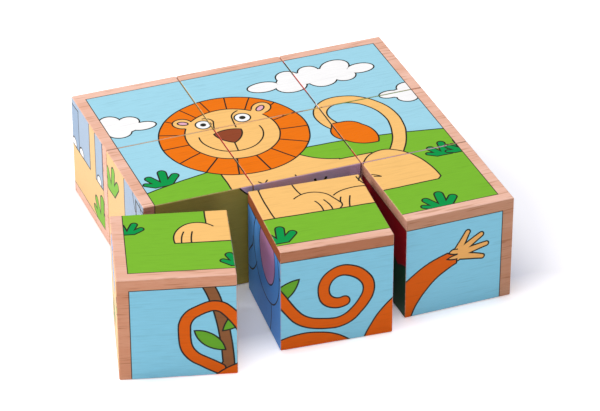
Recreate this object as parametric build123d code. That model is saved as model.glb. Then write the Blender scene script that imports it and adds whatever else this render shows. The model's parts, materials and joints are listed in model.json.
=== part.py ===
from build123d import *
import os
from math import cos, radians, sin, tan

# A picture cube puzzle: nine solid beech cubes that close up into a square, three by three.
# Lengths are in mm and turns in degrees. The frame stands on the table under the middle of
# the closed square, with +X to the right, +Y to the back and +Z up.

# Driving dimensions
block_size = 40.0                 # one cube, face to face
edge_radius = 0.5                 # every edge and corner is sanded round
play = 0.2                        # left between neighbours in the closed square

# The front left block is drawn out: slipped to the left of its home and turned clockwise,
# with its back corner just in front of the row behind.
front_left_slip = 18.3
front_left_turn = 15.5
front_left_clear_behind = 0.5

# The front centre block is drawn out a little, and turned clockwise.
front_centre_turn = 4.8
front_centre_clear_behind = 3.0
front_centre_clear_beside = 3.7

# What follows from them
pitch = block_size + play
half = block_size / 2
rows = {"back": 1, "middle": 0, "front": -1}
columns = {"left": -1, "centre": 0, "right": 1}


def block_name(row, column):
    """The middle block is called the centre block, and the others by row and column."""
    if row == "middle" and column == "centre":
        return "centre_block"
    return f"{row}_{column}_block"


def reach(turn):
    """How far a turned block stands out from its own middle, along X or Y."""
    return half * (cos(radians(turn)) + sin(radians(turn)))


def home(row, column):
    """A block's place in the closed square: x, y and turn."""
    return (columns[column] * pitch, rows[row] * pitch, 0.0)


def front_left_place():
    """The front left block's back corner sets its y, and its slip sets its x."""
    home_x = home("front", "left")[0]
    x = home_x - front_left_slip
    y = -half - front_left_clear_behind - reach(front_left_turn)
    return (x, y, -front_left_turn)


def front_centre_place():
    """The front centre block keeps clear of the centre block and of the front right one."""
    x = pitch - half - front_centre_clear_beside - reach(front_centre_turn)
    y = -half - front_centre_clear_behind - reach(front_centre_turn)
    return (x, y, -front_centre_turn)


def place_at_rest(row, column):
    """Where a block stands: at home, except for the two that are drawn out."""
    if (row, column) == ("front", "left"):
        return front_left_place()
    if (row, column) == ("front", "centre"):
        return front_centre_place()
    return home(row, column)


def beech_block(x, y, turn):
    """One solid cube with rounded edges, standing on the table."""
    cube = Box(block_size, block_size, block_size, align=(Align.CENTER, Align.CENTER, Align.MIN))
    cube = fillet(cube.edges(), edge_radius)
    return Pos(x, y, 0) * Rot(0, 0, turn) * cube


def pivot_to_home(row, column):
    """The upright axis about which a drawn-out block swings home, and the angle it swings.

    A slide and a turn in the plane of the table are together one turn about one point: it
    lies on the line that halves the way home at right angles.
    """
    x, y, turn = place_at_rest(row, column)
    home_x, home_y, home_turn = home(row, column)
    swing = home_turn - turn
    step_x = home_x - x
    step_y = home_y - y
    lever = 0.5 / tan(radians(swing) / 2)
    pivot_x = (x + home_x) / 2 - lever * step_y
    pivot_y = (y + home_y) / 2 + lever * step_x
    return (pivot_x, pivot_y, swing)


def main():
    os.makedirs("parts", exist_ok=True)
    for row in rows:
        for column in columns:
            name = block_name(row, column)
            block = beech_block(*place_at_rest(row, column))
            block.label = name
            export_step(block, f"parts/{name}.step")
            print(name, "stands at", [round(v, 3) for v in place_at_rest(row, column)])
    for column in ("left", "centre"):
        pivot_x, pivot_y, swing = pivot_to_home("front", column)
        print(f"front_{column}_block swings home by {swing:.2f} about x {pivot_x:.3f}, y {pivot_y:.3f}")
    print("the other blocks tip over the square's bottom edge, from the middle:", pitch + half)


main()
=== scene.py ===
# %% [markdown]
# # A picture cube puzzle
#
# Nine beech cubes close up into a square. Each cube carries a ninth of six different pictures,
# one on each face, so the set makes six pictures in all. Seven cubes stand at home in the
# square, and the two at the front left are drawn out a little.
#
# The cubes themselves come from the CAD model and are already right: solid, sharp in size and
# sanded round along their edges. What is left to do is their finish, which is beech wood with
# ink printed on it. This script writes that finish with shader nodes, one material for each
# cube, and then sets up the floor, the lights and the camera.

# %% The frame: load the cubes
import json
from math import atan2, cos, degrees, hypot, pi, radians, remainder, sin

import bpy
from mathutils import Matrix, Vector


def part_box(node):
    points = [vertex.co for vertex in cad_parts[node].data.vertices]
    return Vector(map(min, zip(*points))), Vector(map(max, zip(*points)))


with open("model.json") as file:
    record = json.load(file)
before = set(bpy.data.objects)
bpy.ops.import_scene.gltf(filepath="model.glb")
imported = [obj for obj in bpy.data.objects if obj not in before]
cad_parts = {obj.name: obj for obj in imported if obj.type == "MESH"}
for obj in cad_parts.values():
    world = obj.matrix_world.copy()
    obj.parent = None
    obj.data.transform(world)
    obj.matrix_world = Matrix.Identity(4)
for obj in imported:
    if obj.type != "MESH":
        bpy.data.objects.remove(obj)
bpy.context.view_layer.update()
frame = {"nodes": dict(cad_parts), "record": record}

MM = 0.001

# %% [markdown]
# ## Where each cube stands
#
# A cube's print is laid out in the cube's own space: millimetres from its middle, along its
# own edges. Seven cubes are square to the frame, and two are turned. The boxes give each
# middle, and the range of the joint that swings a cube home gives how far it is turned now.

# %% Middles and turns
ROWS = {"back": 1, "middle": 0, "front": -1}
COLUMNS = {"left": -1, "centre": 0, "right": 1}
CENTRE_BLOCK = "centre_block"


def block_name(row, column):
    if (row, column) == ("middle", "centre"):
        return CENTRE_BLOCK
    return f"{row}_{column}_block"


def middle_mm(node):
    low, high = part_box(node)
    return [(a + b) / 2 / MM for a, b in zip(low, high)]


def turn_at_rest(row, column):
    for joint in frame["record"]["behaviour"]["joints"]:
        if joint["name"] == f"{row}_{column}_close":
            return -radians(joint["range_deg"][1])
    return 0.0


BLOCK = (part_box(CENTRE_BLOCK)[1][0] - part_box(CENTRE_BLOCK)[0][0]) / MM
PITCH = middle_mm("middle_right_block")[0] - middle_mm(CENTRE_BLOCK)[0]
HALF = BLOCK / 2
print(f"each cube is {BLOCK:.1f} mm, and they stand {PITCH:.1f} mm apart")

# %% [markdown]
# ## Writing a material as sums
#
# A picture made of nodes is mostly arithmetic: how far is this point from that circle, and
# which of the two is smaller. Wired by hand, that is hundreds of small boxes. A thin wrapper
# round a socket lets Python write them as sums, and one method adds any other kind of node.

# %% Wires and finishes
class Wire:
    """A number, vector or colour inside a material."""

    def __init__(self, finish, socket):
        self.finish = finish
        self.socket = socket

    def __add__(self, other):
        return self.finish.math("ADD", self, other)

    __radd__ = __add__

    def __sub__(self, other):
        return self.finish.math("SUBTRACT", self, other)

    def __rsub__(self, other):
        return self.finish.math("SUBTRACT", other, self)

    def __mul__(self, other):
        return self.finish.math("MULTIPLY", self, other)

    __rmul__ = __mul__

    def __truediv__(self, other):
        return self.finish.math("DIVIDE", self, other)

    def __neg__(self):
        return self.finish.math("MULTIPLY", self, -1.0)

    def __abs__(self):
        return self.finish.math("ABSOLUTE", self)

    def least(self, other):
        return self.finish.math("MINIMUM", self, other)

    def most(self, other):
        return self.finish.math("MAXIMUM", self, other)

    def above(self, other):
        return self.finish.math("GREATER_THAN", self, other)

    def times_plus(self, factor, offset, clamp=False):
        return self.finish.math("MULTIPLY_ADD", self, factor, offset, clamp=clamp)


class Finish:
    """A node tree while it is being written."""

    def __init__(self, tree):
        self.tree = tree
        self.tree.nodes.clear()

    def node(self, kind, settings, inputs, outlet=0):
        """Adds a node: first its settings, then a value or a wire for each socket named."""
        made = self.tree.nodes.new(kind)
        for name, value in settings.items():
            setattr(made, name, value)
        for name, value in inputs.items():
            if isinstance(value, Wire):
                self.tree.links.new(value.socket, made.inputs[name])
            else:
                made.inputs[name].default_value = value
        return Wire(self, made.outputs[outlet]) if outlet is not None else None

    def math(self, operation, *values, clamp=False):
        settings = {"operation": operation, "use_clamp": clamp}
        return self.node("ShaderNodeMath", settings, dict(enumerate(values)))

    def vector(self, operation, *values, outlet="Vector"):
        settings = {"operation": operation}
        return self.node("ShaderNodeVectorMath", settings, dict(enumerate(values)), outlet)

    def scale(self, direction, factor):
        return self.node("ShaderNodeVectorMath", {"operation": "SCALE"}, {0: direction, "Scale": factor})

    def parts(self, wire):
        """A wire for every outlet of the node that this wire comes from."""
        return [Wire(self, socket) for socket in wire.socket.node.outputs]

    def along(self, vector, x, y, offset):
        """How far a point lies along a direction in the plane, plus a constant."""
        return self.vector("DOT_PRODUCT", vector, (x, y, 0), outlet="Value") + offset

    def gap(self, vector, x, y):
        """How far a point lies from another."""
        return self.vector("DISTANCE", vector, (x, y, 0), outlet="Value")

    def split(self, vector):
        return self.parts(self.node("ShaderNodeSeparateXYZ", {}, {0: vector}))

    def mapped(self, vector, kind, place=(0, 0, 0), turn=(0, 0, 0), size=(1, 1, 1)):
        inputs = {"Vector": vector, "Location": place, "Rotation": turn, "Scale": size}
        return self.node("ShaderNodeMapping", {"vector_type": kind}, inputs)

    def mix(self, share, first, second, blend="MIX"):
        """Colours only. The numbered sockets are the node's factor and its two colours."""
        settings = {"data_type": "RGBA", "blend_type": blend}
        return self.node("ShaderNodeMix", settings, {0: share, 6: first, 7: second}, 2)

    def noise(self, vector, scale, detail=2.0, roughness=0.5):
        inputs = {"Vector": vector, "Scale": scale, "Detail": detail, "Roughness": roughness}
        return self.node("ShaderNodeTexNoise", {}, inputs)


def ink(code):
    """A colour from its web code, in the linear light that shaders work in."""
    parts = [int(code[i:i + 2], 16) / 255 for i in (1, 3, 5)]
    linear = [p / 12.92 if p <= 0.04045 else ((p + 0.055) / 1.055) ** 2.4 for p in parts]
    return (*linear, 1.0)


print("middle grey in linear light:", [round(v, 3) for v in ink("#808080")[:3]])

# %% [markdown]
# ## Shapes that know their own distance
#
# Every shape in the pictures is a formula that says how far a point is from its edge, less
# than nothing inside. That gives clean edges at any size, and a key line of even width for
# free, because the line is simply where the distance is small. An image would blur close up,
# and thin cut-outs of mesh laid on the cube would have an edge that printing doesn't have.
#
# Each shape also states a box that it stays within, so that a cube's material holds only the
# shapes that reach its ninth of the picture. Everything is in millimetres.

# %% Discs and ovals
SOFT_EDGE = 0.07          # how far ink bleeds at an edge, mm
LINE_HALF = 0.28          # half the width of a key line, mm
NEVER_ZERO = 0.0001       # keeps a division safe at the middle of an oval


class Shape:
    """An area: a box that it stays within, and how far a point is from its edge."""

    def __init__(self, box, distance):
        self.box = box
        self.distance = distance

    def meets(self, window):
        left, low, right, high = self.box
        return left < window[2] and right > window[0] and low < window[3] and high > window[1]


def disc(x, y, r):
    def distance(finish, at):
        return finish.gap(at, x, y) - r
    return Shape((x - r, y - r, x + r, y + r), distance)


def oval(x, y, rx, ry, turn=0):
    tilt = radians(turn)
    wide = hypot(rx * cos(tilt), ry * sin(tilt))
    tall = hypot(rx * sin(tilt), ry * cos(tilt))

    def distance(finish, at):
        if turn:
            east = (cos(tilt) / rx, sin(tilt) / rx)
            north = (-sin(tilt) / ry, cos(tilt) / ry)
            wide_share = finish.along(at, *east, -east[0] * x - east[1] * y)
            tall_share = finish.along(at, *north, -north[0] * x - north[1] * y)
            unit = finish.node("ShaderNodeCombineXYZ", {}, {0: wide_share, 1: tall_share})
        else:
            unit = finish.vector("MULTIPLY_ADD", at, (1 / rx, 1 / ry, 0), (-x / rx, -y / ry, 0))
        length = finish.vector("LENGTH", unit, outlet="Value")
        slope = finish.vector("MULTIPLY", unit, (1 / rx, 1 / ry, 0))
        steep = finish.vector("LENGTH", slope, outlet="Value")
        return (length - 1) * length / (steep + NEVER_ZERO)
    return Shape((x - wide, y - tall, x + wide, y + tall), distance)


print("an oval 8 by 4 mm, tilted, stays within", [round(v, 2) for v in oval(0, 0, 4, 2, 30).box])

# %% Strokes, arcs and curves
OVERLAP = 0.9             # how far one stretch of a curve runs on under the next, mm
ARC_STEPS = 24            # how many steps along an arc find the box that it stays within


def stroke(x0, y0, x1, y1, start, end=None):
    """A straight stroke with round ends: its half width where it starts and where it ends."""
    end = start if end is None else end
    run = hypot(x1 - x0, y1 - y0)
    across = ((x1 - x0) / run ** 2, (y1 - y0) / run ** 2, 0)
    before = -(x0 * across[0] + y0 * across[1])

    def distance(finish, at):
        along = finish.vector("DOT_PRODUCT", at, across, outlet="Value")
        along = finish.math("ADD", along, before, clamp=True)
        foot = finish.vector("ADD", finish.scale((x1 - x0, y1 - y0, 0), along), (x0, y0, 0))
        gap = finish.vector("DISTANCE", at, foot, outlet="Value")
        if end == start:
            return gap - start
        return gap - along.times_plus(end - start, start)
    widest = max(start, end)
    box = (min(x0, x1) - widest, min(y0, y1) - widest, max(x0, x1) + widest, max(y0, y1) + widest)
    return Shape(box, distance)


def path(half_width, *points):
    """Straight strokes from point to point, all of one width."""
    return [stroke(*a, *b, half_width) for a, b in zip(points, points[1:])]


def arc(x, y, r, half_width, start, end):
    """Part of a ring, from one angle to another, anticlockwise."""
    middle = radians(start + end) / 2
    spread = radians(end - start) / 2

    def distance(finish, at):
        ring = abs(finish.gap(at, x, y) - r) - half_width
        across = (-sin(middle), cos(middle))
        back = (-sin(spread) * cos(middle), -sin(spread) * sin(middle))
        beside = abs(finish.along(at, *across, -across[0] * x - across[1] * y))
        behind = finish.along(at, *back, -back[0] * x - back[1] * y)
        return ring.most(beside.times_plus(cos(spread), behind))
    reach = r + half_width
    spots = [radians(start + (end - start) * i / ARC_STEPS) for i in range(ARC_STEPS + 1)]
    left = min(cos(a) for a in spots) * reach
    right = max(cos(a) for a in spots) * reach
    low = min(sin(a) for a in spots) * reach
    high = max(sin(a) for a in spots) * reach
    spare = half_width * 2
    return Shape((x + left - spare, y + low - spare, x + right + spare, y + high + spare), distance)


def curve(half_width, heading, *points):
    """A smooth line through the points. It sets off at the heading, in degrees, and every stretch
    is the one arc that carries on in the same direction and reaches the next point."""
    way = radians(heading)
    stretches = []
    last = len(points) - 1
    for i, ((x0, y0), (x1, y1)) in enumerate(zip(points, points[1:]), 1):
        half_turn = remainder(atan2(y1 - y0, x1 - x0) - way, 2 * pi)
        bend = hypot(x1 - x0, y1 - y0) / 2 / sin(half_turn)
        middle = (x0 - bend * sin(way), y0 + bend * cos(way))
        from_angle = degrees(way) - (90 if bend > 0 else -90)
        to_angle = from_angle + degrees(2 * half_turn)
        more = degrees(OVERLAP / bend)
        from_angle -= more if i > 1 else 0
        to_angle += more if i < last else 0
        stretches.append(arc(*middle, abs(bend), half_width, *sorted((from_angle, to_angle))))
        way += 2 * half_turn
    if half_width > LINE_HALF * 2:
        stretches += [disc(*points[0], half_width), disc(*points[-1], half_width)]
    return stretches


print("a curve through three points is", len(curve(1, 60, (0, 0), (5, 5), (9, 2))), "shapes")

# %% Leaves and straight-sided outlines
def lens(*discs):
    """The outline where some discs, each (x, y, r), all overlap."""
    def distance(finish, at):
        edge = None
        for x, y, r in discs:
            side = finish.gap(at, x, y) - r
            edge = side if edge is None else edge.most(side)
        return edge
    return Shape((max(x - r for x, y, r in discs), max(y - r for x, y, r in discs),
                  min(x + r for x, y, r in discs), min(y + r for x, y, r in discs)), distance)


def leaf(x0, y0, x1, y1, half_width):
    """Two arcs that meet in a point at each end."""
    run = hypot(x1 - x0, y1 - y0)
    radius = (run ** 2 / 4 + half_width ** 2) / (2 * half_width)
    shift = (radius - half_width) / run
    middle = ((x0 + x1) / 2, (y0 + y1) / 2)
    side = ((y1 - y0) * shift, (x0 - x1) * shift)
    shape = lens((middle[0] + side[0], middle[1] + side[1], radius),
                 (middle[0] - side[0], middle[1] - side[1], radius))
    shape.box = (min(x0, x1) - half_width, min(y0, y1) - half_width,
                 max(x0, x1) + half_width, max(y0, y1) + half_width)
    return shape


def slab(x0, y0, x1, y1):
    """A rectangle. Each side counts how far a point lies out past it, and the largest wins."""
    def distance(finish, at):
        edge = None
        for east, north, offset in ((0, -1, y0), (1, 0, -x1), (0, 1, -y1), (-1, 0, x0)):
            side = finish.along(at, east, north, offset)
            edge = side if edge is None else edge.most(side)
        return edge
    return Shape((x0, y0, x1, y1), distance)


print("a leaf 10 mm long stays within", leaf(0, 0, 10, 0, 2).box)

# %% [markdown]
# ## Figures
#
# A figure is what a printer would lay down as one patch of ink: some shapes joined, perhaps
# trimmed by others, filled with one colour, with or without a key line round it. A picture is
# a list of figures, each printed over the ones before.

# %% Inks and figures
KEY_LINE = ink("#27261f")
SKY_BLUE = ink("#94c7d8")
CLOUD_WHITE = ink("#e7e7e7")
GRASS_GREEN = ink("#72ad2c")
TUFT_GREEN = ink("#008d43")
ORANGE = ink("#dc6c06")
TAN = ink("#e6b66d")
NOSE_BROWN = ink("#854025")
EAR_PINK = ink("#d6a1b3")


def inked(edge, spread):
    """How much ink there is here, from 0 to 1, where it spreads this far past the edge."""
    return edge.times_plus(-1 / SOFT_EDGE, 0.5 + spread / SOFT_EDGE, True)


class Figure:
    """One patch of ink: shapes joined, trimmed to stay within some and out of others."""

    def __init__(self, colour, *shapes, within=(), without=(), line=True):
        self.colour = colour
        self.shapes = []
        for shape in shapes:
            self.shapes += shape if isinstance(shape, list) else [shape]
        self.within = within
        self.without = without
        self.line = line

    def draw(self, finish, at, paper, window):
        """Prints the figure over the colour so far, if it reaches into this window."""
        near = [s for s in self.shapes if s.meets(window)]
        if not near or not all(s.meets(window) for s in self.within):
            return paper
        edge = near[0].distance(finish, at)
        for shape in near[1:]:
            edge = edge.least(shape.distance(finish, at))
        for shape in self.within:
            edge = edge.most(shape.distance(finish, at))
        for shape in self.without:
            if shape.meets(window):
                edge = edge.most(-shape.distance(finish, at))
        if self.line:
            paper = finish.mix(inked(edge, LINE_HALF), paper, KEY_LINE)
            return finish.mix(inked(edge, -LINE_HALF), paper, self.colour)
        return finish.mix(inked(edge, 0), paper, self.colour)


def drawn(*shapes):
    """Key lines drawn by themselves."""
    return Figure(KEY_LINE, *shapes, line=False)


def line(heading, *points):
    """A smooth key line through the points."""
    return drawn(curve(LINE_HALF, heading, *points))


print("a key line is", 2 * LINE_HALF, "mm wide, and its edges are soft over", SOFT_EDGE, "mm")

# %% Helpers that several pictures share
FAR = 300                 # well past the picture on every side, mm
PUPIL = 0.4               # the pupil's share of an eye
PICTURES = {}


def eye(x, y, r):
    return [Figure(CLOUD_WHITE, disc(x, y, r)), drawn(disc(x, y, r * PUPIL))]


def above_level(y):
    """Everything above a level, for figures with a flat foot."""
    return slab(-FAR, y, FAR, FAR)


# A tuft's blades: the angle that each leans to the left, its length, and half its width at the tip.
BLADES = ((63, 6.7, 1.0), (31, 7.4, 1.35), (-11, 8.6, 1.55), (-45, 7.6, 1.45))
ROOT_OUT, ROOT_UP, ROOT_HALF = 2.2, 0.8, 1.5


def tuft(x, y, size=1.0, lean=0, colour=TUFT_GREEN):
    """Four fat blades of grass from one root."""
    blades = []
    for angle, length, tip_half in BLADES:
        way = radians(angle + lean)
        tip = (x - sin(way) * length * size, y + cos(way) * length * size)
        root = (x - sin(way) * ROOT_OUT * size, y + ROOT_UP * size)
        blades.append(stroke(*root, *tip, ROOT_HALF * size, tip_half * size))
    return Figure(colour, blades, within=(above_level(y),))


def keep(draw):
    """Keeps a picture under its own name: its background, and its figures in printing order."""
    background, figures = draw()
    PICTURES[draw.__name__] = (background, figures)
    shapes = sum(len(figure.shapes) for figure in figures)
    print(draw.__name__, "picture:", len(figures), "figures,", shapes, "shapes")


print("a tuft of grass is", len(BLADES), "blades")

# %% [markdown]
# ## The lion
#
# The picture on top when the square is closed: a lion lies on a green hill under a blue sky.
# All places are in millimetres from the middle of the picture. The spokes of the mane repeat,
# so one formula draws all of them: the distance to the nearest of sixteen lines from the
# middle, a little closer together at the top, as a hand would draw them.

# %% The lion picture
MANE = (-14.7, 13.4)
MANE_WIDE, MANE_TALL = 26.8, 26.2
SPOKES = 16
SPOKE_START = 1.94        # turns the whole ring of spokes, in radians of its wave
CROWDING = 0.125          # how far the spokes at the sides move up, radians
CROWD_TURN = -0.1         # turns the crowded side away from the very top, radians


def mane_spokes():
    """Waves round the ring: there is a spoke wherever the sine crosses nothing."""
    def distance(finish, at):
        east, north, _ = finish.split(finish.vector("SUBTRACT", at, (*MANE, 0)))
        far = finish.gap(at, *MANE)
        angle = finish.math("ARCTAN2", north, east)
        crowded = finish.math("COSINE", angle + CROWD_TURN).times_plus(-CROWDING, angle)
        wave = finish.math("SINE", crowded * (SPOKES / 2) + SPOKE_START)
        return abs(wave) * far / (SPOKES / 2) - LINE_HALF
    x, y = MANE
    return Shape((x - MANE_WIDE, y - MANE_TALL, x + MANE_WIDE, y + MANE_TALL), distance)


def lion():
    ground_level = above_level(-39.4)
    mane = oval(*MANE, MANE_WIDE, MANE_TALL)
    picture = [
        # three clouds, the hill and the grass
        Figure(CLOUD_WHITE, oval(6.6, 40.8, 6.0, 3.5), disc(17.4, 44.1, 4.5), disc(26.0, 45.1, 4.1),
               oval(36.0, 44.9, 6.0, 4.7, 25), oval(44.6, 41.0, 5.3, 3.3), oval(16.4, 38.0, 5.8, 4.5),
               oval(28.6, 38.4, 5.6, 5.0), oval(37.2, 38.2, 4.4, 3.8), oval(26, 41.6, 14, 4.6)),
        Figure(CLOUD_WHITE, oval(-50, 33, 7, 4.4), disc(-53, 37.6, 3.9), oval(-46.6, 35.6, 3.9, 3.4),
               oval(-42.6, 31.2, 4.9, 2.7), oval(-51.9, 30, 4.4, 4.0)),
        Figure(CLOUD_WHITE, oval(51.8, 18.9, 4.6, 3.0), oval(47.5, 19.6, 4.2, 2.5),
               oval(55.4, 21.9, 4.2, 3.7), oval(52.9, 15.8, 4.0, 3.4)),
        tuft(-48.6, -9.6), Figure(GRASS_GREEN, disc(4.8, -228.5, 225)),
        tuft(49.6, -25.8, 0.9), tuft(57.0, -25.8, 0.9, 10),
        tuft(-55.0, -32.6, 0.76, -14), tuft(-18.2, -54.6, 1.0, -3), tuft(35.3, -57.2, 1.03),
        # the tail, with its tuft
        Figure(TAN, curve(2.45, 53, (34.2, -17.6), (42.0, 1.6), (38.4, 16.6), (28.2, 22.5),
                          (18.7, 14.0), (21.4, 5.0))),
        Figure(ORANGE, disc(24.2, 1.5, 6.5), leaf(20.2, 8.0, 31.2, -8.8, 6.3)),
        # the body, one shape of ink, and the haunch
        Figure(TAN, slab(-28.0, -39.4, -4, 0), slab(-10, -39.4, 26, -14.9), slab(-6, -39.4, 14, -5),
               without=(disc(18.6, 6.2, 21.2), disc(-128.2, -18, 100))),
        Figure(TAN, oval(29.5, -36.5, 12.9, 21.9), within=(ground_level, disc(28, -25, 19.3))),
        Figure(TAN, oval(17.6, -32.5, 4.6, 7.5), slab(-10, -39.1, 20, -24.6), line=False,
               within=(above_level(-39.1),)),
        line(-85, (18.6, -21.5), (19.9, -26.8)), line(-20, (20.6, -29.8), (23.2, -30.9)),
        line(-62, (-17.8, -18.6), (-16.2, -20.9)), line(222, (-14.3, -18.6), (-16.2, -20.9)),
        line(-92, (-4.3, -18.8), (-3.0, -27.3)), line(-92, (-16.4, -20.8), (-15.8, -39.2)),
        # the paws, each with its toes
        line(42, (7.4, -31.0), (12.2, -28.4), (18.6, -28.0), (23.2, -30.9)),
        line(-112, (12.9, -32.6), (10.9, -39.2)), line(-120, (9.7, -32.5), (8.7, -35.6)),
        line(48, (-6.3, -29.6), (-0.8, -26.9), (6.6, -31.2), (8.6, -35.6), (7.4, -39.2)),
        line(-62, (0.3, -32.6), (1.5, -39.2)), line(-62, (3.5, -32.6), (4.8, -39.2)),
        Figure(TAN, oval(-31.4, -36.8, 8.1, 9.5), within=(ground_level,)),
        Figure(TAN, oval(-24.6, -35.6, 4.3, 5.5), line=False, within=(above_level(-39.1),)),
        line(-108, (-35.9, -32.4), (-36.9, -39.2)), line(-102, (-33.0, -32.6), (-33.6, -39.2)),
        # the mane and the face
        Figure(ORANGE, mane),
        Figure(KEY_LINE, mane_spokes(), within=(mane,), line=False),
        Figure(TAN, oval(-29.3, 27.1, 3.6, 3.2, -30)),
        Figure(TAN, oval(0.7, 27.6, 4.0, 3.4, 40)),
        Figure(TAN, disc(-14.9, 14.7, 16.9)),
        Figure(TAN, oval(-27.2, 25.2, 3.0, 2.4, -40), oval(-0.9, 26.0, 3.2, 2.6, 40), line=False),
        Figure(EAR_PINK, oval(-29.1, 27.2, 1.9, 1.1, -28)),
        Figure(EAR_PINK, oval(0.3, 27.5, 2.1, 1.2, 40)),
        *eye(-22.6, 24.0, 2.75), *eye(-7.8, 23.7, 2.9),
        line(8, (-21.8, 27.9), (-18.7, 24.2), (-20.2, 18.4)),
        line(196, (-7.8, 28.9), (-11.4, 24.8), (-12.2, 18.2)),
        Figure(NOSE_BROWN, lens((-16.1, 7.9, 10.0), (-11.7, 17.1, 9.5), (-20.5, 17.1, 9.5))),
        line(-96, (-16.3, 8.6), (-16.9, 3.2)),
        drawn(arc(-15.5, 14.5, 11.5, LINE_HALF, 170, 370)),
    ]
    return SKY_BLUE, picture


keep(lion)

# %% [markdown]
# ## The monkey
#
# The three cubes at the front show its top row: a curled tail, a trunk with leaves, and a
# hand reaching out. A curl is a few arcs of one width joined into one figure, so that the key
# line runs round the whole of it and not across the joins.

# %% The monkey picture
POOL_BLUE = ink("#82c4da")
TRUNK_BROWN = ink("#855532")
LEAF_GREEN = ink("#60a028")
PALM_TAN = ink("#e7ab60")
FUR_ORANGE = ink("#d35a01")


def face_of(x, y, r):
    """Two eyes, two nostrils and a smile on a tan patch. All are shares of the head's radius."""
    return [
        Figure(TAN, disc(x - r * 0.4, y + r * 0.15, r * 0.44),
               disc(x + r * 0.4, y + r * 0.15, r * 0.44), oval(x, y - r * 0.42, r * 0.7, r * 0.46)),
        *eye(x - r * 0.36, y + r * 0.2, r * 0.17), *eye(x + r * 0.36, y + r * 0.2, r * 0.17),
        drawn(disc(x - r * 0.1, y - r * 0.22, 0.5), disc(x + r * 0.1, y - r * 0.22, 0.5)),
        drawn(arc(x, y - r * 0.2, r * 0.42, LINE_HALF, 205, 335)),
    ]


# A hand's fingers: the angle of each to the arm, and how far its tip is from the palm's middle.
FINGERS = ((42, 9.6), (14, 11.6), (-9, 11.8), (-35, 10.4))
PALM, FINGER_ROOT_HALF, FINGER_TIP_HALF = 2.7, 1.55, 0.95


def hand(x, y, way):
    """A palm and four long fingers, spread round the way that the arm points."""
    fingers = []
    for spread, length in FINGERS:
        a = radians(way + spread)
        root = (x + cos(a), y + sin(a))
        tip = (x + cos(a) * length, y + sin(a) * length)
        fingers.append(stroke(*root, *tip, FINGER_ROOT_HALF, FINGER_TIP_HALF))
    return Figure(PALM_TAN, disc(x, y, PALM), fingers)


def monkey():
    """The tail is two curves that set off in opposite directions from one point."""
    tail_half = 2
    meet = (-19.6, 40.9)
    ring = curve(tail_half, 120, meet, (-24.2, 46.8), (-29.7, 48.1), (-34.6, 45.9), (-37.9, 40.5),
                 (-37.6, 33.8), (-33.2, 27.0), (-26.3, 22.8))
    curl = curve(tail_half, -60, meet, (-14.6, 33.6), (-8.3, 29.5), (-1.4, 28.3), (5.8, 30.9),
                 (10.4, 37.0), (9.9, 44.6), (3.4, 49.0), (-3.6, 46.2), (-4.5, 40.0), (2.5, 36.5))
    picture = [
        Figure(GRASS_GREEN, disc(0, -262, 215)),
        Figure(TRUNK_BROWN, curve(1.9, -64, (-30.6, 58.4), (-25.6, 43.6), (-23.2, 22.0)),
               stroke(-23.6, 24, -27, -18, 2.2, 3.4), stroke(-27, -18, -21, -56, 3.4, 4.6)),
        Figure(LEAF_GREEN, leaf(-25.2, 38.2, -13.4, 48.4, 2.7)),
        Figure(LEAF_GREEN, leaf(-34.7, 38.8, -24.3, 30.4, 2.5)),
        Figure(LEAF_GREEN, leaf(-25.6, 2, -39.5, 10, 3.2)),
        Figure(LEAF_GREEN, leaf(-26.6, -30, -12, -24, 2.8)),
        Figure(LEAF_GREEN, leaf(44, -6, 57, -14, 3.4)), Figure(LEAF_GREEN, leaf(38, -12, 47, -24, 3.2)),
        # the arm that reaches up to the right, with its hand
        hand(38.6, 41.9, 20),
        Figure(FUR_ORANGE, disc(45.8, 6.2, 38.6), within=(slab(-10, -10, 39.2, 50),),
               without=(disc(51.6, 10.4, 30.8), leaf(35.2, 43.9, 42, 42.8, 1.0),
                        leaf(35.6, 40.9, 43, 41.6, 0.9))),
        # the other arm and the legs
        Figure(FUR_ORANGE, stroke(-20, 4, -38, -14, 4.6, 3.6)), hand(-41, -17, 225),
        Figure(FUR_ORANGE, stroke(-12, -8, -4, -42, 5.4, 4.4)),
        Figure(TAN, stroke(-4, -45, 4, -46, 3.6, 3.0)),
        Figure(FUR_ORANGE, ring, curl),
        Figure(FUR_ORANGE, oval(-11.6, 9.4, 21.4, 16.6)),
        Figure(FUR_ORANGE, stroke(14, -4, 30, -38, 5.4, 4.2)),
        Figure(TAN, stroke(31, -42, 40, -43, 3.6, 3.0)),
        Figure(FUR_ORANGE, disc(-4.6, -12, 4.6), disc(25.4, -12, 4.6)),
        Figure(TAN, disc(-4.6, -12, 2.4), disc(25.4, -12, 2.4), line=False),
        Figure(FUR_ORANGE, disc(10.4, -11, 14.2)),
        *face_of(10.4, -12, 13),
        tuft(-46, -54, 0.9), tuft(50, -52, 0.8),
    ]
    return POOL_BLUE, picture


keep(monkey)

# %% [markdown]
# ## The elephant
#
# It stands on sand, so its picture is pale below and blue above. The toes are white ovals
# that the outline of each leg trims.

# %% The elephant picture
SAND = ink("#d8b37a")
HIDE_BLUE = ink("#96a9bd")
FAR_HIDE = ink("#889eb6")
HEAD_BLUE = ink("#5393da")
EAR_MAUVE = ink("#c185b1")
DEEP_SKY = ink("#548fc7")
SOLE, BELLY = -39.5, -6   # the levels where a leg ends and starts, mm
TOE_RISE, TOE_WIDE, TOE_TALL = 1.0, 2.4, 2.3


def leg(x0, x1, colour, *toes):
    """A straight leg down to the ground, with white toes at the places given."""
    shaft = slab(x0, SOLE, x1, BELLY)
    nails = [oval(x, SOLE + TOE_RISE, TOE_WIDE, TOE_TALL) for x in toes]
    return [Figure(colour, shaft), Figure(CLOUD_WHITE, nails, within=(shaft,))]


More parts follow.
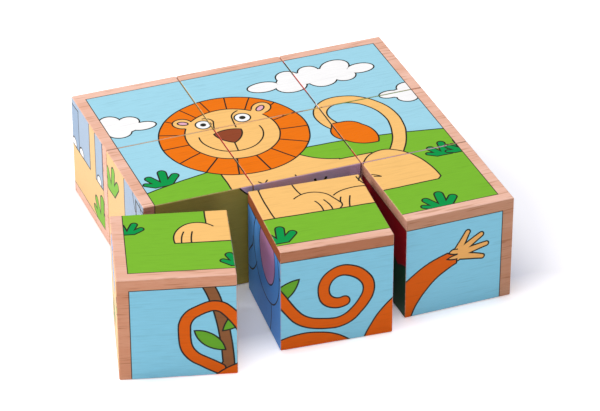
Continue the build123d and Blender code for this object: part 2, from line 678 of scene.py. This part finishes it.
def elephant():
    picture = [
        Figure(SAND, disc(-6, -318, 310)),
        tuft(-14.6, -34.8, 1.15, colour=GRASS_GREEN), tuft(-44, -52, 1.0), tuft(8, -56, 0.8),
        *leg(12.4, 19.8, HIDE_BLUE), *leg(20.4, 29, FAR_HIDE, 22.6), *leg(54.6, 59, FAR_HIDE, 57.6),
        *leg(-0.6, 12, HIDE_BLUE, 2.4, 6.6), *leg(28.2, 40.7, HIDE_BLUE, 30.8),
        *leg(47.3, 55.4, HIDE_BLUE, 51.0),
        tuft(52.6, -56.0, 1.25, 6, GRASS_GREEN),
        Figure(HIDE_BLUE, oval(22, 6, 38.6, 28.6)), Figure(HEAD_BLUE, disc(6, 28, 25)),
        Figure(HIDE_BLUE, slab(-0.2, -24.5, 11.6, -6), slab(28.6, -23.5, 40.3, -6), line=False),
        line(-80, (9.0, -20.5), (11.5, -27)), line(-78, (16.4, -20.5), (17.9, -24)),
        line(-62, (54, 12), (58, 2), (55, -10)),
        Figure(HEAD_BLUE, stroke(-38, 18, -49, -8, 8.6, 5.6), stroke(-49, -8, -42, -27, 5.6, 4.2),
               stroke(-42, -27, -33, -29, 4.2, 3.6)),
        Figure(HEAD_BLUE, disc(-17, 30, 26)),
        Figure(HEAD_BLUE, stroke(-38, 18, -49, -8, 8.3, 5.3), line=False),
        Figure(CLOUD_WHITE, leaf(-38, 4, -28, -14, 2.2)),
        Figure(HEAD_BLUE, oval(3.2, 47, 15.6, 15.6)),
        Figure(EAR_MAUVE, oval(4.2, 50, 9.2, 11.4)),
        *eye(-27, 36, 3.0),
        drawn(arc(-27, 36, 5.2, LINE_HALF, 40, 140)),
        line(-72, (-13.6, 46.2), (-14.8, 41.4), (-18.6, 37)),
        line(-118, (-8.5, 38.8), (-12.6, 33.2), (-19.4, 30.6)),
        line(-20, (-47, 4), (-42, 3)), line(-20, (-50, -4), (-45, -5.4)),
        line(-10, (-51, -12), (-46, -12.6)),
    ]
    return DEEP_SKY, picture


keep(elephant)

# %% [markdown]
# ## The parrot, the hippo and the giraffe
#
# These pictures are mostly out of sight while the lion is on top. They are drawn in the same
# way, and they matter as soon as a cube is tipped over, and for the sides and the back.

# %% The parrot picture
SUNSET_RED = ink("#860a13")
LOW_SUN_RED = ink("#cf1b26")
JUNGLE_GREEN = ink("#134225")
WING_BLUE = ink("#2b67a8")
SUN_YELLOW = ink("#e6c137")
BEAK_GREY = ink("#4e4f55")


# The leaves round the edge: where each one grows from, and the way that it points, in degrees.
JUNGLE = ((-52, -20, 60), (-44, -34, 40), (-52, -48, 20), (50, -28, 120), (52, -36, 140),
          (40, -46, 160), (-20, -52, 30), (12, -54, 150), (54, -4, 110), (-54, 4, 75))
LEAF_LENGTH, LEAF_HALF = 22, 5.0


def jungle_leaf(x, y, way):
    tip = (x + cos(radians(way)) * LEAF_LENGTH, y + sin(radians(way)) * LEAF_LENGTH)
    return Figure(JUNGLE_GREEN, leaf(x, y, *tip, LEAF_HALF))


def parrot():
    feathers = []
    for i in range(4):
        colour = WING_BLUE if i % 2 else SUN_YELLOW
        feathers.append(Figure(colour, leaf(-6 - 3 * i, -14, -14 - 5 * i, -50 + 3 * i, 3.0)))
    picture = [
        Figure(LOW_SUN_RED, slab(-FAR, -FAR, FAR, 20.1), line=False),
        Figure(JUNGLE_GREEN, disc(26, 18, 24), disc(4, 24, 17)),
        Figure(JUNGLE_GREEN, disc(0, -290, 250)),
        *[jungle_leaf(*place) for place in JUNGLE], *feathers,
        Figure(TRUNK_BROWN, stroke(-60, -22, 60, -28, 3.6, 4.4)),
        Figure(WING_BLUE, oval(-4, 2, 14, 21, 18)),
        Figure(SUN_YELLOW, oval(1.5, 3, 7.4, 14.5, 16)),
        Figure(LEAF_GREEN, oval(-12, 0, 8, 18, 20)),
        *[drawn(arc(-12 - i, 4 - 7 * i, 5, LINE_HALF, 200, 330)) for i in range(3)],
        Figure(WING_BLUE, disc(-16, 25, 12)),
        Figure(CLOUD_WHITE, oval(-21, 26, 6.4, 7.2)),
        Figure(BEAK_GREY, leaf(-25, 30, -31, 13, 3.6)),
        *eye(-20, 28, 2.6),
        drawn(stroke(-4, -19, -4, -24, 0.9)), drawn(stroke(4, -18, 4, -24, 0.9)),
    ]
    return SUNSET_RED, picture


keep(parrot)

# %% The hippo picture
BANK_OLIVE = ink("#ac9f4f")
HIPPO_LILAC = ink("#ddb4da")
WATER_TEAL = ink("#58aaa7")
MUZZLE_LILAC = ink("#e6c6e4")


def hippo():
    stance = above_level(-34)
    ripples = ((-36, -57), (-20, -56), (14, -56), (30, -57))
    picture = [
        Figure(BANK_OLIVE, disc(-10, -206, 240)),
        Figure(CLOUD_WHITE, oval(38, 52, 10, 3.4), oval(36, 54.5, 5, 3.0), oval(44, 53.5, 4.4, 2.8)),
        tuft(-50, -4, 0.9), tuft(-8, -26, 0.9), tuft(52, -2, 0.9),
        Figure(HIPPO_LILAC, stroke(17, 8, 16, -29, 6, 4.2), stroke(50, 14, 50, -29, 5, 4.0),
               within=(stance,)),
        Figure(HIPPO_LILAC, oval(14, 28, 42, 22)),
        Figure(HIPPO_LILAC, stroke(2, 4, 1, -29, 7.5, 5.4), stroke(38, 6, 38, -29, 8, 5.4),
               within=(stance,), without=(oval(14, 28, 41, 21),)),
        Figure(CLOUD_WHITE, [oval(x, -33, 1.7, 1.6) for x in (-2, 2, 6, 34, 38, 42)],
               within=(stance,)),
        line(-40, (55, 34), (58, 30), (56, 25)),
        Figure(HIPPO_LILAC, disc(-32, 50, 4), disc(-12, 51, 4)),
        Figure(EAR_PINK, disc(-32, 50, 2), disc(-12, 51, 2), line=False),
        Figure(HIPPO_LILAC, oval(-22, 41, 17, 13)),
        Figure(MUZZLE_LILAC, oval(-30, 32.5, 19, 9.5)),
        drawn(oval(-37, 36, 1.6, 1.0, 30), oval(-24, 36, 1.6, 1.0, -30)),
        drawn(arc(-30, 42, 15, LINE_HALF, 222, 318)),
        Figure(CLOUD_WHITE, slab(-37, 25.6, -34, 28.6), slab(-26, 25.6, -23, 28.6)),
        *eye(-30, 45, 2.6), *eye(-17, 45.5, 2.6),
        drawn(arc(4.8, 17.6, 2.1, LINE_HALF * 1.6, 185, 355)),
        Figure(WATER_TEAL, disc(0, -292, 250)),
        *[drawn(arc(x, y, 8, LINE_HALF * 1.4, 55, 125)) for x, y in ripples],
    ]
    return SKY_BLUE, picture


keep(hippo)

# %% The giraffe picture
HILL_TEAL = ink("#7abfb0")
COAT_YELLOW = ink("#e3b835")
PATCH_BROWN = ink("#a86226")
MEADOW = ink("#a7c14e")
POND_BLUE = ink("#62a2d0")


EVENING_SKY = ink("#ecc798")
# The patches of the coat: each one's middle, its two half widths, and its tilt in degrees.
PATCHES = ((-30, -6, 3.6, 4.4, 20), (-22, -1, 4.0, 3.2, -20), (-14, -9, 4.4, 3.6, 10),
           (-5, -2, 3.8, 4.2, 30), (-23, -13, 3.6, 3.0, 0), (-5, -13, 4.0, 3.2, -15),
           (5, -8, 3.4, 4.0, 10), (7, 4, 3.6, 2.8, 40), (12, 12, 3.4, 2.6, 60),
           (12, 21, 2.8, 2.4, 20), (18, 25, 2.4, 3.0, 0), (17.5, 33, 2.4, 2.0, 30))
# The legs: where each one leaves the body, and how far its hoof stands to the side of that.
LEGS = ((-32, -2), (-23, 1), (0, -1), (9, 2))


def giraffe():
    neck = stroke(6, -2, 20, 36, 9, 5.4)
    body = oval(-12, -8, 25, 14)
    legs = [stroke(x, -12, x + lean, -44, 4.2, 2.8) for x, lean in LEGS]
    picture = [
        Figure(EAR_PINK, disc(-38, 40, 11)),
        Figure(HILL_TEAL, disc(-30, -84, 80), disc(46, -96, 88)),
        Figure(MEADOW, disc(0, -270, 240)),
        Figure(POND_BLUE, oval(-48, -48, 30, 26)),
        Figure(TRUNK_BROWN, stroke(46, -30, 44, 16, 3.0, 2.2), stroke(44, 2, 53, 14, 1.8, 1.4)),
        Figure(LEAF_GREEN, oval(40, 22, 15, 7), oval(50, 17, 8, 5), oval(47, 28, 9, 5)),
        drawn(path(0.5, (-36, -2), (-41, -10), (-40, -20))),
        Figure(COAT_YELLOW, legs),
        Figure(PATCH_BROWN, [slab(x + lean - 2.4, -48, x + lean + 2.4, -44) for x, lean in LEGS]),
        Figure(COAT_YELLOW, neck, body),
        Figure(PATCH_BROWN, [oval(*patch) for patch in PATCHES], line=False),
        Figure(PATCH_BROWN, stroke(19, 46, 18, 51, 0.9, 1.4), stroke(24, 46, 24.5, 51, 0.9, 1.4)),
        Figure(COAT_YELLOW, leaf(8, 46, 18, 43, 2.4)),
        Figure(COAT_YELLOW, stroke(20, 42, 31, 37, 6.2, 4.4)),
        Figure(TAN, oval(32, 36, 5.6, 4.2, -20)),
        *eye(22, 43.5, 2.4),
        drawn(disc(34, 38, 0.6), arc(31, 38.5, 4.6, 0.3, 235, 320)),
        tuft(-50, -46, 0.9), tuft(30, -50, 0.9),
    ]
    return EVENING_SKY, picture


keep(giraffe)

# %% [markdown]
# ## Beech
#
# Beech is pale and a little pink, with a quiet figure: faint growth bands, fine streaks, and
# the short dark flecks of its rays. The pattern is worked out in three dimensions, from the
# point's place in the block, so the grain runs through the cube as it does in real wood, with
# streaks along four sides and dots on the two ends where the saw crossed it. Each cube is cut
# from another place in the board, which is only an offset.

# %% The wood
BEECH_LIGHT = ink("#e2baa9")
BEECH_DEEP = ink("#d2a088")
FLECK_BROWN = ink("#a87657")
ALONG_GRAIN = 0.07        # squeezes places along the grain, so the pattern is drawn out there
NEXT_BOARD = (37.0, 53.0, 71.0)      # from one cube's place in the board to the next
BANDS_PER_MM, STREAKS_PER_MM, FLECKS_PER_MM = 0.16, 2.7, 1.25
FIGURE_CONTRAST, BAND_START, STREAK_START = 2.4, -0.75, -0.98
FLECK_CONTRAST, FLECK_START, FLECK_STRENGTH = 9.0, -5.3, 0.55


def beech(finish, local, board):
    """The wood's colour, and two numbers that the ink needs: its streaks and its flecks."""
    shift = [board * step for step in NEXT_BOARD]
    drawn_out = finish.vector("MULTIPLY_ADD", local, (ALONG_GRAIN, 1, 1), shift)
    band = finish.noise(drawn_out, BANDS_PER_MM)
    streak = finish.noise(drawn_out, STREAKS_PER_MM, detail=3.0, roughness=0.62)
    spots = finish.noise(drawn_out, FLECKS_PER_MM, detail=1.0)
    fleck = spots.times_plus(FLECK_CONTRAST, FLECK_START, True)
    banded = band.times_plus(FIGURE_CONTRAST, BAND_START, True)
    colour = finish.mix(banded, BEECH_LIGHT, BEECH_DEEP)
    streaked = streak.times_plus(FIGURE_CONTRAST, STREAK_START, True)
    colour = finish.mix(streaked, colour, BEECH_DEEP)
    colour = finish.mix(fleck * FLECK_STRENGTH, colour, FLECK_BROWN)
    return colour, streak, fleck


print(f"the pattern of the wood is drawn out {1 / ALONG_GRAIN:.0f} times along the grain")

# %% [markdown]
# ## Which piece goes where
#
# Every cube has one piece of each picture. This table names, for the five sides that aren't
# on top, the picture and the piece: its column and its row, counted from the middle one. The
# top is always the lion, and there each cube carries the piece of its own place. The bare
# wood of the sides is darker and redder than on top, partly for the deeper colour of the side
# grain and partly as painted shade. Painted light and shade also make it differ from cube to
# cube, so a second table gives its painted tone there.

# %% The pieces on each cube
LOWER_SIDES = ("front", "left", "right", "back", "bottom")
PRINTS = {
    ("back", "left"): (("giraffe", -1, 0), ("elephant", 1, -1), ("parrot", -1, 1),
                       ("monkey", 1, 0), ("hippo", 0, -1)),
    ("back", "centre"): (("giraffe", 0, 0), ("hippo", -1, -1), ("elephant", 1, 1),
                         ("monkey", 0, 0), ("parrot", 1, 1)),
    ("back", "right"): (("giraffe", 1, 0), ("parrot", -1, 0), ("elephant", 1, 0),
                        ("monkey", -1, 0), ("hippo", 1, -1)),
    ("middle", "left"): (("hippo", -1, 0), ("elephant", 0, -1), ("giraffe", -1, 1),
                         ("monkey", -1, -1), ("parrot", -1, -1)),
    ("middle", "centre"): (("hippo", 0, 0), ("parrot", 1, -1), ("giraffe", 0, 1),
                           ("monkey", 0, -1), ("elephant", -1, 1)),
    ("middle", "right"): (("hippo", 1, 0), ("parrot", 1, 0), ("elephant", 0, 0),
                          ("monkey", 1, -1), ("giraffe", 1, 1)),
    ("front", "left"): (("monkey", -1, 1), ("elephant", -1, -1), ("giraffe", -1, -1),
                        ("hippo", -1, 1), ("parrot", 0, -1)),
    ("front", "centre"): (("monkey", 0, 1), ("elephant", 0, 1), ("hippo", 0, 1),
                          ("giraffe", 0, -1), ("parrot", 0, 0)),
    ("front", "right"): (("monkey", 1, 1), ("parrot", 0, 1), ("elephant", -1, 0),
                         ("giraffe", 1, -1), ("hippo", 1, 1)),
}
# How the bare wood of a side compares with the top's, as shares of red, green and blue: partly
# the deeper colour of the side grain, partly painted shade, and on two left sides painted light.
TOP_TONE = (1, 1, 1, 1)
SIDE_GRAIN_AND_SHADE = (0.8, 0.68, 0.6, 1)
# Per cube and side: painted shade on the fronts, deepest on the front centre cube's left side, and
# painted light that pales the left sides of the back left and middle left cubes.
SIDE_GRAIN_AND_PAINTED_LIGHT = {
    ("front", "left", "front"): (0.84, 0.65, 0.5, 1),
    ("front", "centre", "front"): (0.6, 0.41, 0.28, 1),
    ("front", "right", "front"): (0.67, 0.56, 0.44, 1),
    ("front", "centre", "left"): (0.5, 0.22, 0.1, 1),
    ("back", "left", "left"): (1, 0.97, 0.97, 1),
    ("middle", "left", "left"): (1, 0.93, 0.9, 1),
}

different = {piece for pieces in PRINTS.values() for piece in pieces}
print("different pieces on the sides:", len(different), "of", len(LOWER_SIDES) * len(PRINTS))

# %% [markdown]
# ## Laying a picture on a side
#
# One Mapping node turns the cube's own space so that a side lies flat, with the picture the
# right way up for someone who looks at that side, and shifts it to the piece's place in the
# picture. Its scale flattens the depth to nothing. The side that a point belongs to is the
# one that it stands out towards most, so prints meet in the middle of a rounded edge.

# %% Sides and margins
UPRIGHT = -pi / 2
FLAT_X, FLAT_Y, FLAT_Z = (0, 1, 1), (1, 0, 1), (1, 1, 0)
SIDES = {"top": ((0, 0, 0), FLAT_Z), "bottom": ((pi, 0, 0), FLAT_Z),
         "front": ((UPRIGHT, 0, 0), FLAT_Y), "back": ((UPRIGHT, pi, 0), FLAT_Y),
         "left": ((UPRIGHT, pi / 2, 0), FLAT_X), "right": ((UPRIGHT, -pi / 2, 0), FLAT_X)}
MARGIN = 4.1              # bare wood round the whole picture, mm
PRINT_HALF = PITCH + HALF - MARGIN
BORDER_LINE = 0.3         # the dark line where the print ends, mm
HAND_WOBBLE = 0.5         # how far a drawn line strays from its formula, mm
WOBBLES_PER_MM = 0.11
WINDOW_HALF = HALF + 1    # a cube draws what reaches this far from its middle, mm


def beyond(past, ahead=0.0):
    """1 past an edge and 0 inside it, or changing over this far ahead of it."""
    return past.times_plus(1 / SOFT_EDGE, 0.5 + ahead / SOFT_EDGE, True)


def printed_side(side, picture, column, row):
    """A node group that gives the colour of one side: its piece of a picture, and bare wood past
    the print's edge. It takes the place in the cube, the wood's colour, how the wood shades the
    ink, and the painted light and shade that darken or lighten this side's bare wood."""
    turn, flat = SIDES[side]
    tree = bpy.data.node_groups.new(f"{picture}, on the {side}", "ShaderNodeTree")
    for name, kind in (("Place", "Vector"), ("Wood", "Color"), ("Shade", "Color"), ("Grain and painted light", "Color")):
        tree.interface.new_socket(name, in_out="INPUT", socket_type=f"NodeSocket{kind}")
    tree.interface.new_socket("Colour", in_out="OUTPUT", socket_type="NodeSocketColor")
    finish = Finish(tree)
    place, wood, shade, grain_and_painted_light = finish.parts(finish.node("NodeGroupInput", {}, {}))[:4]
    at = finish.mapped(place, "POINT", (column * PITCH, row * PITCH, 0), turn, flat)
    waves = {"Vector": at, "Scale": WOBBLES_PER_MM, "Detail": 1.0}
    wobble = finish.node("ShaderNodeTexNoise", {}, waves, "Color")
    by_hand = finish.vector("MULTIPLY_ADD", wobble, (HAND_WOBBLE, HAND_WOBBLE, 0), at)
    by_hand = finish.vector("SUBTRACT", by_hand, (HAND_WOBBLE / 2, HAND_WOBBLE / 2, 0))
    window = (column * PITCH - WINDOW_HALF, row * PITCH - WINDOW_HALF,
              column * PITCH + WINDOW_HALF, row * PITCH + WINDOW_HALF)
    colour, figures = PICTURES[picture]
    for figure in figures:
        colour = figure.draw(finish, by_hand, colour, window)
    colour = finish.mix(1.0, colour, shade, "MULTIPLY")
    if column or row:
        east, north, _ = finish.split(at)
        edges = ((east, column), (north, row))
        past = [distance * sign - PRINT_HALF for distance, sign in edges if sign]
        past = past[0] if len(past) == 1 else past[0].most(past[1])
        colour = finish.mix(beyond(past, BORDER_LINE), colour, KEY_LINE)
        # the bare wood takes this side's tone: partly side grain, partly painted light and shade
        bare = finish.mix(1.0, wood, grain_and_painted_light, "MULTIPLY")
        colour = finish.mix(beyond(past), colour, bare)
    finish.node("NodeGroupOutput", {}, {"Colour": colour}, None)
    return tree


def side_masks(finish, local):
    """One number for each side, 1 where the point belongs to it."""
    x, y, z = finish.split(local)
    wide, deep, tall = abs(x), abs(y), abs(z)
    return {"top": z.above(wide.most(deep)), "bottom": (-z).above(wide.most(deep)),
            "right": x.above(deep.most(tall)), "left": (-x).above(deep.most(tall)),
            "back": y.above(wide.most(tall)), "front": (-y).above(wide.most(tall))}


print(f"a whole picture is printed {2 * PRINT_HALF:.1f} mm wide, and its margin is {MARGIN} mm")

# %% [markdown]
# ## The finish of a cube
#
# The ink is thin, so the wood's streaks and flecks show through it, and both have the same
# dull, low sheen: there is no thick varnish that would reflect the lights. Along the edges the
# sanding and the handling leave the ink thinner, and a little of the wood looks through. The
# edge is where the second largest of the three distances from the middle comes close to the
# face, and noise breaks the line up.

# %% One material for each cube
WEAR_LEAST = 0.01         # how wide the worn edge is at least, mm
WEAR_RAGGED = 0.62        # how much wider noise can make it, mm
WEAR_PER_MM = 7.0         # how fast it sets in
RAGS_PER_MM = 0.55
WEAR_STRENGTH = 0.35      # how much of the wood shows where it is worn
INK_LEVEL, INK_STREAKS, INK_FLECKS = 0.87, 0.22, 0.07    # how the wood shades the ink
RELIEF_STREAKS, RELIEF_FLECKS = 0.6, 0.5                 # how high each stands in the relief
RELIEF_STRENGTH, RELIEF_DEPTH = 0.35, 0.08               # the depth is in mm
SMOOTHEST, ROUGHER_STREAKS = 0.36, 0.22
SHEEN = 0.07              # 0.5 would be an ordinary gloss


def worn_edge(finish, local):
    """How bare the edge is here, from 0 to 1."""
    x, y, z = [abs(v) for v in finish.split(local)]
    second = x.least(y).most(y.least(z)).most(x.least(z))
    ragged = finish.noise(local, RAGS_PER_MM, detail=3.0, roughness=0.65)
    start = ragged.times_plus(-WEAR_RAGGED, HALF - WEAR_LEAST)
    return (second - start).times_plus(WEAR_PER_MM, 0.0, True)


def printed_beech(row, column, board):
    """Beech and ink for one cube, laid out in the cube's own space."""
    material = bpy.data.materials.new(f"printed beech, {row} {column}")
    material.use_nodes = True
    finish = Finish(material.node_tree)
    node = block_name(row, column)
    place = [v * MM for v in middle_mm(node)]
    held = finish.node("ShaderNodeTexCoord", {}, {}, "Object")
    local = finish.mapped(held, "TEXTURE", place, (0, 0, turn_at_rest(row, column)), (MM, MM, MM))
    wood, streak, fleck = beech(finish, local, board)
    level = streak * INK_STREAKS - fleck * INK_FLECKS + INK_LEVEL
    shade = finish.node("ShaderNodeCombineColor", {}, {0: level, 1: level, 2: level})
    masks = side_masks(finish, local)
    colour = wood
    sides = {"top": ("lion", COLUMNS[column], ROWS[row])}
    sides.update(zip(LOWER_SIDES, PRINTS[(row, column)]))
    for side, (picture, *piece) in sides.items():
        tree = printed_side(side, picture, *piece)
        # the top keeps its wood as it is; the other sides get side grain with painted light and shade
        grain_and_painted_light = TOP_TONE if side == "top" else SIDE_GRAIN_AND_PAINTED_LIGHT.get((row, column, side), SIDE_GRAIN_AND_SHADE)
        printed = {"Place": local, "Wood": wood, "Shade": shade, "Grain and painted light": grain_and_painted_light}
        on_side = finish.node("ShaderNodeGroup", {"node_tree": tree}, printed)
        colour = finish.mix(masks[side], colour, on_side)
    colour = finish.mix(worn_edge(finish, local) * WEAR_STRENGTH, colour, wood)
    relief = streak * RELIEF_STREAKS - fleck * RELIEF_FLECKS
    bump = finish.node("ShaderNodeBump", {}, {
        "Strength": RELIEF_STRENGTH, "Distance": RELIEF_DEPTH * MM, "Height": relief})
    shader = finish.node("ShaderNodeBsdfPrincipled", {}, {
        "Base Color": colour, "Roughness": streak.times_plus(ROUGHER_STREAKS, SMOOTHEST),
        "Normal": bump, "Specular IOR Level": SHEEN})
    finish.node("ShaderNodeOutputMaterial", {}, {"Surface": shader}, None)
    return material


for board, (row, column) in enumerate(PRINTS):
    material = printed_beech(row, column, board + 1)
    frame["nodes"][block_name(row, column)].material_slots[0].material = material
    nodes = material.node_tree.nodes
    in_groups = [len(node.node_tree.nodes) for node in nodes if node.type == "GROUP"]
    print(material.name, "is", len(nodes), "nodes, with", in_groups, "in its six sides")

# %% [markdown]
# ## The table, the lights and the camera
#
# The floor is plain and almost white. A large soft lamp hangs overhead and a smaller one
# stands behind on the left, so the shadows fall softly to the right, and a dim pale sky fills
# them. The floor also glows by itself in front of the cubes, on their left and far off. This
# glow is painted light, since the floor is no lamp: it leaves the shadow only on the right and
# between the cubes, and it keeps the floor white elsewhere without one more lamp, which would
# wash out the cubes' fronts. The camera looks down from the front left through a long lens,
# which keeps the cubes' edges almost parallel.

# %% Floor
FLOOR_SIZE = 8            # metres
FLOOR_DROP = 0.05 * MM    # just clear of the cubes' bottom faces
GLOW_FRONT, GLOW_LEFT, GLOW_FAR = 50 * MM, 61 * MM, 90 * MM    # where it starts to glow
GLOW_FADE = 20 * MM       # over how far the glow comes up at the front and on the left
GLOW_FADE_FAR = 50 * MM
GLOW_STRENGTH = 0.5
GLOW_COLOUR, NO_GLOW = (1.0, 0.98, 1.0, 1), (0, 0, 0, 1)
FLOOR_COLOUR = (0.96, 0.95, 0.97, 1)
FLOOR_ROUGHNESS, DUST_ROUGHNESS, DUST_PER_METRE = 0.6, 0.1, 30.0


def rise(distance, start, length):
    """0 up to the start, and 1 from one length further on."""
    return distance.times_plus(1 / length, -start / length, True)


bpy.ops.object.select_all(action="DESELECT")
bpy.ops.mesh.primitive_plane_add(size=FLOOR_SIZE, location=(0, 0, -FLOOR_DROP))
floor = bpy.context.active_object
floor.name = "floor"
table_top = bpy.data.materials.new("pale table")
table_top.use_nodes = True
ground = Finish(table_top.node_tree)
spot = ground.node("ShaderNodeTexCoord", {}, {}, "Object")
east, north, _ = ground.split(spot)
in_front = rise(-north, GLOW_FRONT, GLOW_FADE)
to_the_left = rise(-east, GLOW_LEFT, GLOW_FADE)
far_off = rise(ground.vector("LENGTH", spot, outlet="Value"), GLOW_FAR, GLOW_FADE_FAR)
# painted light: the floor glows in front, on the left and far off, and stays unlit on the right and
# between the cubes, where the shadows fall
glow = ground.mix(in_front.most(to_the_left).most(far_off), NO_GLOW, GLOW_COLOUR)
dust = ground.noise(spot, DUST_PER_METRE)
surface = ground.node("ShaderNodeBsdfPrincipled", {}, {
    "Base Color": FLOOR_COLOUR, "Roughness": dust.times_plus(DUST_ROUGHNESS, FLOOR_ROUGHNESS),
    "Emission Color": glow, "Emission Strength": GLOW_STRENGTH})
ground.node("ShaderNodeOutputMaterial", {}, {"Surface": surface}, None)
floor.data.materials.append(table_top)
print("the floor is", FLOOR_SIZE, "m wide and glows from", round(GLOW_FRONT / MM), "mm in front")

# %% Lights
SKY_COLOUR, SKY_STRENGTH = (0.95, 0.93, 1.0, 1), 0.36


def soft_light(name, place, size, power, colour):
    """A round lamp that looks at the cubes."""
    bpy.ops.object.light_add(type="AREA", location=place)
    lamp = bpy.context.active_object
    lamp.name = name
    lamp.data.shape = "DISK"
    lamp.data.size = size
    lamp.data.energy = power
    lamp.data.color = colour
    lamp.rotation_euler = Vector(place).to_track_quat("Z", "Y").to_euler()
    print(name, "is", size, "m wide and gives", power, "W")


soft_light("overhead light", (-0.25, 0.1, 1.5), size=1.4, power=20, colour=(1.0, 0.99, 0.97))
soft_light("back left light", (-1.3, 0.75, 0.75), size=0.8, power=14, colour=(1.0, 0.99, 0.98))
world = bpy.data.worlds.new("studio")
bpy.context.scene.world = world
world.use_nodes = True
backdrop = world.node_tree.nodes["Background"]
backdrop.inputs["Color"].default_value = SKY_COLOUR
backdrop.inputs["Strength"].default_value = SKY_STRENGTH
bpy.context.scene.view_settings.view_transform = "Standard"

# %% Camera
AZIMUTH, ELEVATION = radians(-21.35), radians(32.67)
DISTANCE = 1.0891                        # metres
AIM = Vector((0.0015, -0.0089, 0.02))
LENS, SENSOR = 185.3, 36.0               # mm
NEAREST = 0.05                           # metres

back = Vector((sin(AZIMUTH) * cos(ELEVATION), -cos(AZIMUTH) * cos(ELEVATION), sin(ELEVATION)))
bpy.ops.object.camera_add(location=AIM + back * DISTANCE)
camera = bpy.context.active_object
camera.rotation_euler = back.to_track_quat("Z", "Y").to_euler()
camera.data.lens = LENS
camera.data.sensor_width = SENSOR
camera.data.clip_start = NEAREST
bpy.context.scene.camera = camera
print(f"the camera is {DISTANCE:.2f} m away and {degrees(ELEVATION):.0f} degrees above the table")
